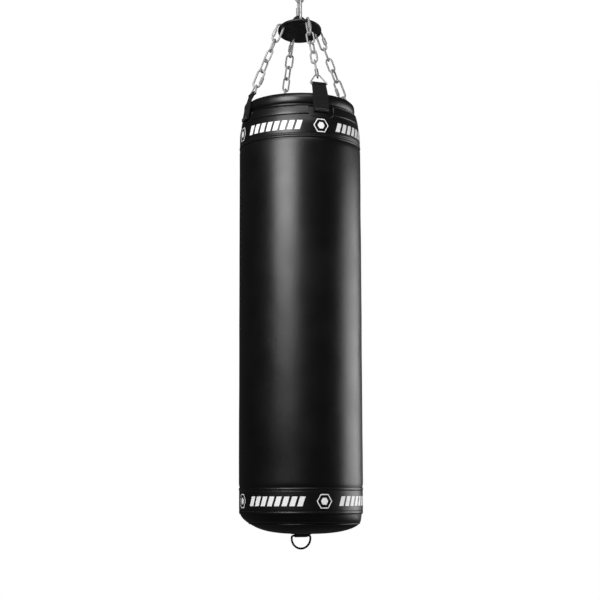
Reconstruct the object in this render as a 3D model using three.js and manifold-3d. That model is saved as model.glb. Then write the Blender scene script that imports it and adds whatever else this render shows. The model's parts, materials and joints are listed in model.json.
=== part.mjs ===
// Heavy punching bag hung on four chain legs from a round hub, with a quick link,
// a swivel and a ceiling plate above it. Millimetres, +Z up.
// The origin is the centre of the ceiling plate's top face, and everything hangs below it.
import * as THREE from 'three';
import { mergeVertices } from 'three/addons/utils/BufferGeometryUtils.js';
import Module from 'manifold-3d';

const wasm = await Module();
wasm.setup();

// Clearance between pieces that touch on the real bag
const gap = 0.3;

// Bag skin: a tube that tapers in at the top and rounds in at the bottom
const bagRadius = 177;
const topTaper = 7;
const taperLength = 55;
const bottomDepth = 78;
const bottomPower = 2.8;
const seamHeight = 30;
const lowerStripHeight = 27;
const lowerBandHeight = 76;
const bodyHeight = 1003;
const upperBandHeight = 69;
const hemHeight = 23;
const skinThickness = 2.4;
const bandThickness = 1.6;
const capThickness = 3;
const foamThickness = 20;
const lidThickness = 6;
const rollLift = 4;
const rollHeight = 37;
const rollWidth = 32;
const notchWidth = 80;
const notchDepth = 31;
const notchCorner = 22;

// Webbing straps and the wire triangles that they hold
const strapWidth = 48;
const strapThickness = 4;
const strapGather = 43;
const strapShoulder = 9;
const strapEnd = 54;
const barRadius = 152;
const barRise = 24;
const triangleHeight = 35;
const triangleApex = 14;
const triangleCorner = 2.6;
const triangleWire = 4.5;

// Chain legs
const legWire = 6;
const legLinkLength = 64;
const legLinkWidth = 26;
const chainWire = 5.5;
const chainLength = 47;
const chainWidth = 26;
const chainCount = 3;
const linkSlack = 0.5;
const sleeveLength = 22;
const sleeveRadius = 5.6;
const sleeveTravel = 8;
const mouthWidth = 7;

// Hub plate and its fin
const hubRadius = 66;
const hubThickness = 6;
const hubHoleRadius = 5.8;
const bridgeWidth = 7;
const hubLean = 13;
const hubLeanAzimuth = -109;
const finHeight = 48;
const finWidth = 46;
const finThickness = 6;
const finHoleRadius = 8.5;
const finHoleWall = 8;

// Top link, swivel and ceiling plate
const topWire = 7.5;
const topLinkLength = 74;
const topLinkWidth = 29;
const topSleeveRadius = 7.2;
const topSleeveLength = 26;
const eyeRadius = 12;
const eyeWire = 8;
const stemRadius = 6;
const flangeRadius = 11;
const flangeThickness = 4;
const bearingHeight = 4;
const housingRadius = 16;
const housingWall = 3.5;
const housingHeight = 30;
const housingCap = 5;
const neckLength = 5;
const lugThickness = 14;
const lugRadius = 12;
const boltRadius = 5;
const boltHeadHeight = 6.5;
const boltHeadRadius = 9;
const earThickness = 5;
const earRadius = 14;
const boltDrop = 26;
const plateLength = 130;
const plateWidth = 80;
const plateThickness = 6;
const plateCorner = 10;
const plateHoleRadius = 4.5;
const plateHoleInset = 15;

// D-shaped pull ring below the bag
const ringWidth = 64;
const ringSide = 8;
const ringCorner = 5;
const ringWire = 6;
const tabWidth = 38;
const tabThickness = 1.6;

const lathingSteps = 40;
const linkArcSteps = 3;
const degree = Math.PI / 180;

// Levels of the bag above its lowest point
const lowerBandZ = seamHeight + lowerStripHeight;
const bodyZ = lowerBandZ + lowerBandHeight;
const upperBandZ = bodyZ + bodyHeight;
const hemTopZ = upperBandZ + upperBandHeight + hemHeight;
const rollZ = hemTopZ + rollLift;
const rollTopZ = rollZ + rollHeight;
const lidTopZ = rollZ - gap;
const topRadius = bagRadius - topTaper;
const rollRadius = topRadius - rollWidth / 2;

// Material looks
const paint = (color, roughness, metalness) => new THREE.MeshStandardMaterial({
  color, roughness, metalness,
});
const looks = {
  zinc: () => paint(0xb9bbbd, 0.32, 1),
  hubPaint: () => paint(0x101011, 0.45, 0.2),
  leather: () => paint(0x141415, 0.36, 0),
  webbing: () => paint(0x0e0e0f, 0.8, 0),
  foam: () => paint(0x3c3d40, 0.95, 0),
  textile: () => paint(0x8c8579, 1, 0),
  blackSteel: () => paint(0x17171a, 0.4, 0.8),
};

const hangingBag = new THREE.Group();

function addMesh(parent, name, geometry, material) {
  const mesh = new THREE.Mesh(geometry, material);
  mesh.name = name;
  parent.add(mesh);
  return mesh;
}

// ---- closed solids ----

function volumeOf(geometry) {
  const flat = geometry.index ? geometry.toNonIndexed() : geometry;
  const p = flat.attributes.position;
  const [a, b, c] = [new THREE.Vector3(), new THREE.Vector3(), new THREE.Vector3()];
  let volume = 0;
  for (let i = 0; i < p.count; i += 3) {
    a.fromBufferAttribute(p, i);
    b.fromBufferAttribute(p, i + 1);
    c.fromBufferAttribute(p, i + 2);
    volume += a.dot(b.cross(c)) / 6;
  }
  return volume;
}

// Merges the vertices and turns an inside-out shape the right way round
function closed(geometry) {
  const clean = geometry.clone();
  clean.deleteAttribute('normal');
  clean.deleteAttribute('uv');
  const merged = mergeVertices(clean, 1e-3);
  const index = Array.from(merged.index.array);
  const kept = [];
  for (let i = 0; i < index.length; i += 3) {
    const [a, b, c] = index.slice(i, i + 3);
    if (a !== b && b !== c && a !== c) kept.push(a, b, c);
  }
  merged.setIndex(kept);
  if (volumeOf(merged) < 0) {
    for (let i = 0; i < kept.length; i += 3) {
      [kept[i + 1], kept[i + 2]] = [kept[i + 2], kept[i + 1]];
    }
    merged.setIndex(kept);
  }
  return merged;
}

function toManifold(geometry) {
  const merged = closed(geometry);
  return new wasm.Manifold(new wasm.Mesh({
    numProp: 3,
    vertProperties: new Float32Array(merged.attributes.position.array),
    triVerts: new Uint32Array(merged.index.array),
  }));
}

function fromManifold(manifold) {
  const mesh = manifold.getMesh();
  const geometry = new THREE.BufferGeometry();
  geometry.setAttribute('position', new THREE.BufferAttribute(new Float32Array(mesh.vertProperties), 3));
  geometry.setIndex(Array.from(mesh.triVerts));
  return geometry;
}

const join = (...parts) => fromManifold(parts.map(toManifold).reduce((all, next) => all.add(next)));
const cut = (body, ...tools) => fromManifold(
  tools.map(toManifold).reduce((all, next) => all.subtract(next), toManifold(body)),
);

// Turns a profile of [radius, height] points round the Z axis
function turned(profile, steps = lathingSteps) {
  const points = profile.map(([r, z]) => new THREE.Vector2(r, z));
  return closed(new THREE.LatheGeometry(points, steps).rotateX(Math.PI / 2));
}

// Turned ring between an outer and an inner profile, both listed from low to high
function turnedWall(outer, inner) {
  return turned([...outer, ...[...inner].reverse(), outer[0]]);
}

function cylinder(radius, z0, z1, steps = 24) {
  return turned([[0, z0], [radius, z0], [radius, z1], [0, z1]], steps);
}

// Plate drawn in the XZ plane and given its thickness about y = 0
function plateXZ(shape, thickness, curveSegments = 12) {
  const geometry = new THREE.ExtrudeGeometry(shape, {
    depth: thickness, bevelEnabled: false, curveSegments,
  });
  return closed(geometry.translate(0, 0, -thickness / 2).rotateX(Math.PI / 2));
}

// Closed wire loop: a torus laid along a flat path in the XY plane
function wireLoop(path, wire, arcSteps, sides = 8) {
  const points = path.getPoints(arcSteps).filter((point, i, all) => (
    point.distanceTo(all[(i + all.length - 1) % all.length]) > 0.01
  ));
  const steps = points.length;
  const geometry = new THREE.TorusGeometry(1, 0.2, sides, steps);
  const { position, uv } = geometry.attributes;
  for (let i = 0; i < position.count; i += 1) {
    const k = Math.round(uv.getX(i) * steps) % steps;
    const at = points[k];
    const before = at.clone().sub(points[(k + steps - 1) % steps]).normalize();
    const after = points[(k + 1) % steps].clone().sub(at).normalize();
    const along = before.add(after).normalize();
    const around = 2 * Math.PI * uv.getY(i);
    const out = (wire / 2) * Math.cos(around);
    position.setXYZ(i, at.x + along.y * out, at.y - along.x * out, (wire / 2) * Math.sin(around));
  }
  return closed(geometry);
}

// Straight-sided oval link, long axis on Y
function linkSolid(length, width, wire) {
  const bend = (width - wire) / 2;
  const half = (length - width) / 2;
  const path = new THREE.Path();
  path.absarc(0, half, bend, 0, Math.PI);
  path.absarc(0, -half, bend, Math.PI, 2 * Math.PI);
  return wireLoop(path, wire, linkArcSteps);
}

// Quick link: the oval with a mouth cut in one side, which the threaded sleeve closes
function quickLinkSolid(length, width, wire, mouthY) {
  const box = new THREE.BoxGeometry(wire * 2, mouthWidth, wire * 2);
  box.translate((width - wire) / 2, mouthY, 0);
  return cut(linkSolid(length, width, wire), box);
}

function sleeveSolid(wire, radius, length) {
  const sides = 6;
  const bore = (wire / 2 + gap) / Math.cos(Math.PI / sides);
  return turned([
    [bore, -length / 2], [radius, -length / 2], [radius, length / 2], [bore, length / 2],
    [bore, -length / 2],
  ], sides);
}

// ---- suspension, from the ceiling down ----

function roundedPlate() {
  const [x, y, r] = [plateLength / 2, plateWidth / 2, plateCorner];
  const shape = new THREE.Shape();
  shape.moveTo(-x + r, -y);
  shape.lineTo(x - r, -y);
  shape.absarc(x - r, -y + r, r, -Math.PI / 2, 0);
  shape.absarc(x - r, y - r, r, 0, Math.PI / 2);
  shape.absarc(-x + r, y - r, r, Math.PI / 2, Math.PI);
  shape.absarc(-x + r, -y + r, r, Math.PI, 1.5 * Math.PI);
  for (const sx of [-1, 1]) {
    for (const sy of [-1, 1]) {
      const hole = new THREE.Path();
      hole.absarc(sx * (x - plateHoleInset), sy * (y - plateHoleInset), plateHoleRadius, 0, 2 * Math.PI);
      shape.holes.push(hole);
    }
  }
  const geometry = new THREE.ExtrudeGeometry(shape, {
    depth: plateThickness, bevelEnabled: false, curveSegments: 5,
  });
  return closed(geometry.translate(0, 0, -plateThickness));
}

const boltZ = -plateThickness - boltDrop;
const earInside = lugThickness / 2 + 2 * gap;
const earOutside = earInside + earThickness;

function earSolid(side) {
  const shape = new THREE.Shape();
  shape.moveTo(-earRadius, plateThickness / 2 - plateThickness);
  shape.lineTo(-earRadius, boltZ);
  shape.absarc(0, boltZ, earRadius, Math.PI, 2 * Math.PI);
  shape.lineTo(earRadius, -plateThickness / 2);
  const hole = new THREE.Path();
  hole.absarc(0, boltZ, boltRadius + gap, 0, 2 * Math.PI);
  shape.holes.push(hole);
  return plateXZ(shape, earThickness).translate(0, side * (earInside + earThickness / 2), 0);
}

function ceilingPlateSolid() {
  return join(roundedPlate(), earSolid(-1), earSolid(1));
}

// Bolt along Y with a hexagon head on the -Y side
function boltSolid() {
  const shank = cylinder(boltRadius, -earOutside - boltHeadHeight, earOutside + 1.5 * boltHeadHeight);
  const head = cylinder(boltHeadRadius, -earOutside - gap - boltHeadHeight, -earOutside - gap, 6);
  return join(shank, head).rotateX(-Math.PI / 2).translate(0, 0, boltZ);
}

function nutSolid() {
  const z0 = earOutside + gap;
  const z1 = z0 + boltHeadHeight;
  const hexagon = cylinder(boltHeadRadius, z0, z1, 6);
  return cut(hexagon, cylinder(boltRadius + gap, z0 - 1, z1 + 1))
    .rotateX(-Math.PI / 2).translate(0, 0, boltZ);
}

const housingTopZ = boltZ - lugRadius - 6;
const housingBottomZ = housingTopZ - housingHeight;
const capBottomZ = housingBottomZ - gap - housingCap;
const eyeTopZ = capBottomZ - neckLength;
const eyeZ = eyeTopZ - eyeRadius - eyeWire / 2;

// Upper swivel half: a lug for the bolt over a cup that opens downwards
function swivelHeadSolid() {
  const inner = housingRadius - housingWall;
  const roof = housingTopZ - housingWall;
  const cup = turned([
    [0, roof], [inner, roof], [inner, housingBottomZ], [housingRadius, housingBottomZ],
    [housingRadius, housingTopZ - 4], [housingRadius - 4, housingTopZ], [0, housingTopZ],
  ], 32);
  const shape = new THREE.Shape();
  shape.moveTo(-lugRadius, housingTopZ - 1);
  shape.lineTo(lugRadius, housingTopZ - 1);
  shape.lineTo(lugRadius, boltZ);
  shape.absarc(0, boltZ, lugRadius, 0, Math.PI);
  const hole = new THREE.Path();
  hole.absarc(0, boltZ, boltRadius + gap, 0, 2 * Math.PI);
  shape.holes.push(hole);
  return join(cup, plateXZ(shape, lugThickness));
}

const capBore = stemRadius + gap;

function swivelCapSolid() {
  return turnedWall(
    [[capBore, capBottomZ], [housingRadius, capBottomZ], [housingRadius, capBottomZ + housingCap]],
    [[capBore, capBottomZ + housingCap]],
  );
}

const bearingZ = capBottomZ + housingCap + gap;

function thrustBearingSolid() {
  const outer = housingRadius - housingWall - gap;
  return turned([
    [capBore, bearingZ], [outer, bearingZ], [outer, bearingZ + bearingHeight],
    [capBore, bearingZ + bearingHeight], [capBore, bearingZ],
  ], 32);
}

// Lower swivel half: a flanged stem that ends in an eye facing along Y
function swivelStemSolid() {
  const flangeZ = bearingZ + bearingHeight + gap;
  const stem = turned([
    [0, eyeTopZ - eyeWire / 2], [stemRadius, eyeTopZ - eyeWire / 2], [stemRadius, flangeZ],
    [flangeRadius, flangeZ], [flangeRadius, flangeZ + flangeThickness], [0, flangeZ + flangeThickness],
  ], 24);
  const eye = closed(new THREE.TorusGeometry(eyeRadius, eyeWire / 2, 10, 24))
    .rotateX(Math.PI / 2).translate(0, 0, eyeZ);
  return join(stem, eye);
}

// Top link stands in the YZ plane, its upper bend in the eye and its lower bend in the fin
const topBend = (topLinkWidth - topWire) / 2;
const topInner = topLinkLength / 2 - topWire;
const eyeContactZ = eyeZ - eyeRadius + eyeWire / 2;
const topLinkZ = eyeContactZ + linkSlack - topInner;
const hubPivotZ = topLinkZ - topInner - topWire / 2;

// The fin leans with the hub, so its hole stays this much off the link's wire
const wireRise = topBend - Math.sqrt(topBend ** 2 - (finThickness / 2) ** 2);
const finSeat = 2 * linkSlack + finThickness * Math.tan(hubLean * degree) + wireRise;
const finHoleZ = topWire / 2 + finSeat - finHoleRadius;
const finTopZ = finHoleZ + finHoleRadius + finHoleWall;
const plateTopZ = finTopZ - finHeight;

function finSolid() {
  const r = finWidth / 2;
  const shape = new THREE.Shape();
  shape.moveTo(-r, plateTopZ + gap);
  shape.lineTo(r, plateTopZ + gap);
  shape.lineTo(r, finTopZ - r);
  shape.absarc(0, finTopZ - r, r, 0, Math.PI);
  const hole = new THREE.Path();
  hole.absarc(0, finHoleZ, finHoleRadius, 0, 2 * Math.PI);
  shape.holes.push(hole);
  return plateXZ(shape, finThickness);
}

const bridgeRadius = hubRadius - bridgeWidth / 2;
const hubMidZ = plateTopZ - hubThickness / 2;

function hubPlateSolid() {
  const shape = new THREE.Shape();
  shape.absarc(0, 0, hubRadius, 0, 2 * Math.PI);
  for (let i = 0; i < 4; i += 1) {
    const hole = new THREE.Path();
    const r = hubRadius - bridgeWidth - hubHoleRadius;
    const angle = (i * Math.PI) / 2;
    hole.absarc(r * Math.cos(angle), r * Math.sin(angle), hubHoleRadius, 0, 2 * Math.PI);
    shape.holes.push(hole);
  }
  const geometry = new THREE.ExtrudeGeometry(shape, {
    depth: hubThickness, bevelEnabled: false, curveSegments: 16,
  });
  return closed(geometry.translate(0, 0, plateTopZ - hubThickness));
}

addMesh(hangingBag, 'ceiling_plate', ceilingPlateSolid(), looks.zinc());
addMesh(hangingBag, 'clevis_bolt', boltSolid(), looks.zinc());
addMesh(hangingBag, 'clevis_nut', nutSolid(), looks.zinc());
addMesh(hangingBag, 'swivel_head', swivelHeadSolid(), looks.zinc());
addMesh(hangingBag, 'swivel_cap', swivelCapSolid(), looks.zinc());
addMesh(hangingBag, 'thrust_bearing', thrustBearingSolid(), looks.zinc());
addMesh(hangingBag, 'swivel_stem', swivelStemSolid(), looks.zinc());

// Places a quick link and its sleeve in a group; the sleeve starts at the closed end of its travel
function addQuickLink(parent, name, size, side) {
  const { length, width, wire, barrel, barrelLength } = size;
  const rest = -sleeveTravel / 2;
  const group = new THREE.Group();
  group.rotation.y = side < 0 ? Math.PI : 0;
  const mouthY = rest - barrelLength / 2 + mouthWidth / 2 + 2;
  addMesh(group, name, quickLinkSolid(length, width, wire, mouthY), looks.zinc());
  const sleeve = sleeveSolid(wire, barrel, barrelLength).rotateX(-Math.PI / 2);
  const mesh = addMesh(group, `${name}_sleeve`, sleeve, looks.zinc());
  mesh.position.set((width - wire) / 2, rest, 0);
  parent.add(group);
  return group;
}

const topLinkSize = {
  length: topLinkLength,
  width: topLinkWidth,
  wire: topWire,
  barrel: topSleeveRadius,
  barrelLength: topSleeveLength,
};
const legLinkSize = {
  length: legLinkLength,
  width: legLinkWidth,
  wire: legWire,
  barrel: sleeveRadius,
  barrelLength: sleeveLength,
};

const topLinkFrame = new THREE.Group();
topLinkFrame.rotation.set(Math.PI / 2, Math.PI / 2, 0);
topLinkFrame.position.set(0, 0, topLinkZ);
hangingBag.add(topLinkFrame);
addQuickLink(topLinkFrame, 'top_link', topLinkSize, 1);

// Hub: leans about the point where its fin hangs on the top link
const leanDirection = new THREE.Vector3(
  Math.cos(hubLeanAzimuth * degree),
  Math.sin(hubLeanAzimuth * degree),
  0,
);
const leanAxis = leanDirection.clone().cross(new THREE.Vector3(0, 0, 1));
const hub = new THREE.Group();
hub.position.set(0, 0, hubPivotZ);
hub.quaternion.setFromAxisAngle(leanAxis, hubLean * degree);
hangingBag.add(hub);
addMesh(hub, 'hub_plate', hubPlateSolid(), looks.hubPaint());
addMesh(hub, 'hub_fin', finSolid(), looks.hubPaint());
hub.updateMatrixWorld(true);

// ---- chain legs ----

const inner = (length, wire) => length / 2 - wire;
const legInner = inner(legLinkLength, legWire);
const chainInner = inner(chainLength, chainWire);

// Distances along a leg from the hub's bridge down to the middle of each piece
const bridgeCorner = Math.hypot(bridgeWidth, hubThickness) / 2;
const hookSeat = legLinkWidth / 2 - legWire - bridgeCorner - linkSlack;
const upperLinkAt = hookSeat + (legLinkLength - legLinkWidth) / 2;
const firstChainAt = upperLinkAt + legInner + chainInner - linkSlack;
const chainPitch = 2 * chainInner - linkSlack;
const lowerLinkAt = firstChainAt + (chainCount - 1) * chainPitch + chainInner + legInner - linkSlack;
const apexAt = lowerLinkAt + legInner - linkSlack;
const barAt = apexAt + triangleHeight - 1.5 * triangleWire;

const legs = [
  { name: 'right', azimuth: 0, side: 1 },
  { name: 'back', azimuth: 90, side: -1 },
  { name: 'left', azimuth: 180, side: 1 },
  { name: 'front', azimuth: 270, side: 1 },
];

// Turn of each piece about its leg, in degrees from the plane that holds the leg and the hub's axis
const chainTwist = [62, 122, 216];
const lowerTwist = 333;

for (const leg of legs) {
  const angle = leg.azimuth * degree;
  leg.radial = new THREE.Vector3(Math.cos(angle), Math.sin(angle), 0);
  leg.hook = leg.radial.clone().multiplyScalar(bridgeRadius).setZ(hubMidZ);
  hub.localToWorld(leg.hook);
  const foot = leg.radial.clone().multiplyScalar(barRadius);
  const run = Math.hypot(foot.x - leg.hook.x, foot.y - leg.hook.y);
  leg.bar = foot.setZ(leg.hook.z - Math.sqrt(barAt ** 2 - run ** 2));
}

// The bag hangs level, at the mean height of its four straps' bars
const meanBarZ = legs.reduce((sum, leg) => sum + leg.bar.z, 0) / legs.length;
const bagZ = meanBarZ - barRise - rollTopZ;

// The strap is folded round the triangle's bar, gathered narrower than its own width
const strapEye = triangleWire / 2 + 3 * linkSlack;
const strapLoop = strapEye + strapThickness / 2;

// Wire triangle: its sides clear the gathered strap, and its top is flat
function triangleSolid() {
  const [r, h] = [triangleCorner, triangleHeight - triangleWire];
  const a = triangleApex / 2;
  let w = strapGather;
  let slope = 0;
  for (let pass = 0; pass < 20; pass += 1) {
    slope = Math.atan2(h, w - a);
    w = strapGather / 2 + linkSlack + strapLoop / Math.tan(slope) + triangleWire / 2 / Math.sin(slope);
  }
  const flat = w - r * Math.tan((Math.PI - slope) / 2);
  const bevel = r * Math.tan(slope / 2);
  const path = new THREE.Path();
  path.absarc(flat, r, r, -Math.PI / 2, Math.PI / 2 - slope);
  path.absarc(a - bevel, h - r, r, Math.PI / 2 - slope, Math.PI / 2);
  path.absarc(-a + bevel, h - r, r, Math.PI / 2, Math.PI / 2 + slope);
  path.absarc(-flat, r, r, Math.PI / 2 + slope, 1.5 * Math.PI);
  return wireLoop(path, triangleWire, 2);
}

// Frame with Y up along the leg and Z along the hub's tangent, for pieces strung on the leg
function legFrame(leg) {
  const up = leg.hook.clone().sub(leg.bar).normalize();
  const tangent = new THREE.Vector3(0, 0, 1).cross(leg.radial);
  tangent.addScaledVector(up, -tangent.dot(up)).normalize();
  const across = up.clone().cross(tangent);
  const frame = new THREE.Group();
  frame.position.copy(leg.hook);
  frame.quaternion.setFromRotationMatrix(new THREE.Matrix4().makeBasis(across, up, tangent));
  hangingBag.add(frame);
  return frame;
}

function placed(frame, distance, twist) {
  const spot = new THREE.Group();
  spot.position.set(0, -distance, 0);
  spot.rotation.y = twist * degree;
  frame.add(spot);
  return spot;
}

for (const leg of legs) {
  const frame = legFrame(leg);
  addQuickLink(placed(frame, upperLinkAt, 0), `${leg.name}_upper_link`, legLinkSize, -1);
  for (let i = 0; i < chainCount; i += 1) {
    const spot = placed(frame, firstChainAt + i * chainPitch, chainTwist[i]);
    addMesh(spot, `${leg.name}_chain_${i + 1}`, linkSolid(chainLength, chainWidth, chainWire), looks.zinc());
  }
  addQuickLink(placed(frame, lowerLinkAt, lowerTwist), `${leg.name}_lower_link`, legLinkSize, leg.side);
  addMesh(placed(frame, barAt, 90), `${leg.name}_triangle`, triangleSolid(), looks.zinc());
}

// ---- bag ----

const bag = new THREE.Group();
bag.position.set(0, 0, bagZ);
hangingBag.add(bag);

// Outline of the skin, moved inwards by inset, from height low to height high
function skinProfile(inset, low, high) {
  const power = 2 / bottomPower;
  const width = bagRadius - inset;
  const depth = bottomDepth - inset;
  const angleAt = (z) => {
    const share = Math.min(Math.max((bottomDepth - z) / depth, 0), 1);
    return Math.asin(share ** (1 / power));
  };
  const points = [];
  const first = angleAt(low);
  const last = angleAt(high);
  const bottomSteps = 6;
  for (let i = 0; i <= bottomSteps && low < bottomDepth; i += 1) {
    const t = first + ((last - first) * i) / bottomSteps;
    points.push([width * Math.cos(t) ** power, bottomDepth - depth * Math.sin(t) ** power]);
  }
  if (low >= bottomDepth) points.push([topShrink(low, width), low]);
  const taperSteps = 3;
  for (let i = 0; i <= taperSteps; i += 1) {
    const z = upperBandZ + (taperLength * i) / taperSteps;
    if (z > low + 1 && z < high - 1) points.push([topShrink(z, width), z]);
  }
  if (high > bottomDepth) points.push([topShrink(high, width), high]);
  return points;
}

function topShrink(z, width) {
  const t = Math.min(Math.max((z - upperBandZ) / taperLength, 0), 1);
  return width - topTaper * t * t * (3 - 2 * t);
}

function skinTube(outerInset, innerInset, low, high) {
  return turnedWall(skinProfile(outerInset, low, high), skinProfile(innerInset, low, high));
}

// Notch for a strap: a U-shaped hole through the band, open upwards
function notchCutter(leg) {
  const [w, r] = [notchWidth / 2, notchCorner];
  const bottom = hemTopZ - notchDepth;
  const shape = new THREE.Shape();
  shape.moveTo(-w, hemTopZ + 10);
  shape.lineTo(-w, bottom + r);
  shape.absarc(-w + r, bottom + r, r, Math.PI, 1.5 * Math.PI);
  shape.absarc(w - r, bottom + r, r, 1.5 * Math.PI, 2 * Math.PI);
  shape.lineTo(w, hemTopZ + 10);
  const reach = bagRadius * 0.5;
  const geometry = new THREE.ExtrudeGeometry(shape, {
    depth: reach, bevelEnabled: false, curveSegments: 4,
  });
  geometry.rotateX(Math.PI / 2).translate(0, bagRadius + 20, 0);
  return geometry.rotateZ(leg.azimuth * degree - Math.PI / 2);
}

const bandOut = -gap - bandThickness;
const upperBand = cut(skinTube(bandOut, -gap, upperBandZ, hemTopZ), ...legs.map(notchCutter));
addMesh(bag, 'outer_shell', skinTube(0, skinThickness, seamHeight, hemTopZ), looks.leather());
addMesh(bag, 'upper_band', upperBand, looks.leather());
addMesh(bag, 'lower_band', skinTube(bandOut, -gap, lowerBandZ, bodyZ), looks.leather());

// Cap: the rounded bottom below the seam
function bottomCapSolid() {
  const outer = skinProfile(0, 0, seamHeight - gap);
  const inside = skinProfile(capThickness, capThickness, seamHeight - gap);
  return turned([...outer, ...inside.reverse()]);
}

function foamSolid() {
  const inset = skinThickness + gap;
  const low = seamHeight + 1;
  const high = lidTopZ - lidThickness - gap;
  const inside = topRadius - foamThickness;
  return turnedWall(skinProfile(inset, low, high), [[inside, low], [inside, high]]);
}

// Packed cloth fill: follows the cap at the bottom and the foam above it
function fillSolid() {
  const inset = capThickness + gap;
  const side = topRadius - foamThickness - gap;
  const curve = skinProfile(inset, inset, bottomDepth).filter(([r]) => r < side - 2);
  const start = seamHeight + 1;
  const below = curve.filter(([, z]) => z < start);
  const top = lidTopZ - lidThickness - gap;
  return turned([...below, [side, start], [side, top], [0, top]]);
}

function rollSolid() {
  const profile = [];
  const steps = 12;
  for (let i = 0; i <= steps; i += 1) {
    const t = (2 * Math.PI * (i % steps)) / steps;
    profile.push([
      rollRadius + (rollWidth / 2) * Math.cos(t),
      rollZ + rollHeight / 2 + (rollHeight / 2) * Math.sin(t),
    ]);
  }
  return turned(profile);
}

addMesh(bag, 'bottom_cap', bottomCapSolid(), looks.leather());
addMesh(bag, 'foam_liner', foamSolid(), looks.foam());
addMesh(bag, 'textile_fill', fillSolid(), looks.textile());
addMesh(bag, 'top_lid', cylinder(topRadius - skinThickness - gap, lidTopZ - lidThickness, lidTopZ,
  lathingSteps), looks.leather());
addMesh(bag, 'top_roll', rollSolid(), looks.leather());

// Strap: webbing folded round the triangle's bar, then down over the roll into the notch
function strapSolid(leg) {
  const half = strapThickness / 2;
  const barZ = leg.bar.z - bagZ;
  const away = half + 2 * gap;
  const [a, b] = [rollWidth / 2 + away, rollHeight / 2 + away];
  const rollMidZ = rollZ + rollHeight / 2;
  const [u, v] = [(barRadius - rollRadius) / a, (barZ - rollMidZ) / b];
  const tangentAt = Math.atan2(v, u) - Math.acos(1 / Math.hypot(u, v));
  const centre = [];
  const turns = 6;
  for (let i = 0; i <= turns; i += 1) {
    const t = tangentAt * (1 - i / turns);
    centre.push(new THREE.Vector2(rollRadius + a * Math.cos(t), rollMidZ + b * Math.sin(t)));
  }
  centre.push(new THREE.Vector2(topRadius + away, rollTopZ - strapEnd));
  const start = new THREE.Vector2(barRadius, barZ);
  const along = centre[0].clone().sub(start).normalize();
  const [left, right] = [[], []];
  const neck = start.clone().addScaledVector(along, strapEye + half);
  [neck, ...centre].forEach((point, i, all) => {
    const next = all[Math.min(i + 1, all.length - 1)];
    const last = all[Math.max(i - 1, 0)];
    const way = next.clone().sub(last).normalize();
    left.push(new THREE.Vector2(point.x - way.y * half, point.y + way.x * half));
    right.push(new THREE.Vector2(point.x + way.y * half, point.y - way.x * half));
  });
  const back = Math.atan2(along.y, along.x);
  const open = Math.asin(half / strapLoop) + 0.2;
  const loop = [];
  const loopSteps = 10;
  for (let i = 0; i <= loopSteps; i += 1) {
    const t = back + open + ((2 * Math.PI - 2 * open) * i) / loopSteps;
    loop.push(new THREE.Vector2(barRadius + strapLoop * Math.cos(t), barZ + strapLoop * Math.sin(t)));
  }
  const shape = new THREE.Shape([...loop, ...right, ...left.reverse()]);
  const hole = new THREE.Path();
  hole.absarc(barRadius, barZ, strapEye, 0, 2 * Math.PI);
  shape.holes.push(hole);
  const geometry = new THREE.ExtrudeGeometry(shape, {
    depth: strapWidth, bevelEnabled: false, curveSegments: 5,
  });
  geometry.translate(0, 0, -strapWidth / 2).rotateX(Math.PI / 2);
  const trims = [-1, 1].map((side) => {
    const box = new THREE.BoxGeometry(4 * strapLoop, strapWidth, 2 * strapShoulder);
    return box.translate(barRadius, (side * (strapGather + strapWidth)) / 2, barZ);
  });
  return cut(geometry, ...trims).rotateZ(leg.azimuth * degree);
}

for (const leg of legs) {
  addMesh(bag, `strap_${leg.name}`, strapSolid(leg), looks.webbing());
}

// Tab under the bag: a webbing loop that holds the D-shaped pull ring
const tabEye = ringWire / 2 + gap;
const tabZ = -tabEye - tabThickness - gap;

function bottomTabSolid() {
  const outer = tabEye + tabThickness;
  const shape = new THREE.Shape();
  shape.moveTo(-outer, -gap - tabZ);
  shape.lineTo(-outer, 0);
  shape.absarc(0, 0, outer, Math.PI, 2 * Math.PI);
  shape.lineTo(outer, -gap - tabZ);
  const hole = new THREE.Path();
  hole.absarc(0, 0, tabEye, 0, 2 * Math.PI);
  shape.holes.push(hole);
  const geometry = new THREE.ExtrudeGeometry(shape, {
    depth: tabWidth, bevelEnabled: false, curveSegments: 6,
  });
  geometry.translate(0, 0, -tabWidth / 2).rotateX(Math.PI / 2).rotateZ(Math.PI / 2);
  return closed(geometry.translate(0, 0, tabZ));
}

// Straight bar on top, two short sides and a half circle below
function pullRingSolid() {
  const [r, c] = [(ringWidth - ringWire) / 2, ringCorner];
  const path = new THREE.Path();
  path.moveTo(r - c, 0);
  path.lineTo(-r + c, 0);
  path.absarc(-r + c, -c, c, Math.PI / 2, Math.PI);
  path.lineTo(-r, -ringSide);
  path.absarc(0, -ringSide, r, Math.PI, 2 * Math.PI);
  path.lineTo(r, -c);
  path.absarc(r - c, -c, c, 0, Math.PI / 2);
  return wireLoop(path, ringWire, 4).rotateX(Math.PI / 2);
}

addMesh(bag, 'bottom_tab', bottomTabSolid(), looks.webbing());
addMesh(bag, 'bottom_ring', pullRingSolid(), looks.blackSteel()).position.set(0, 0, tabZ);

export default hangingBag;
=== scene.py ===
import bpy
import bmesh
import json
import math
from mathutils import Matrix, Vector


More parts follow.
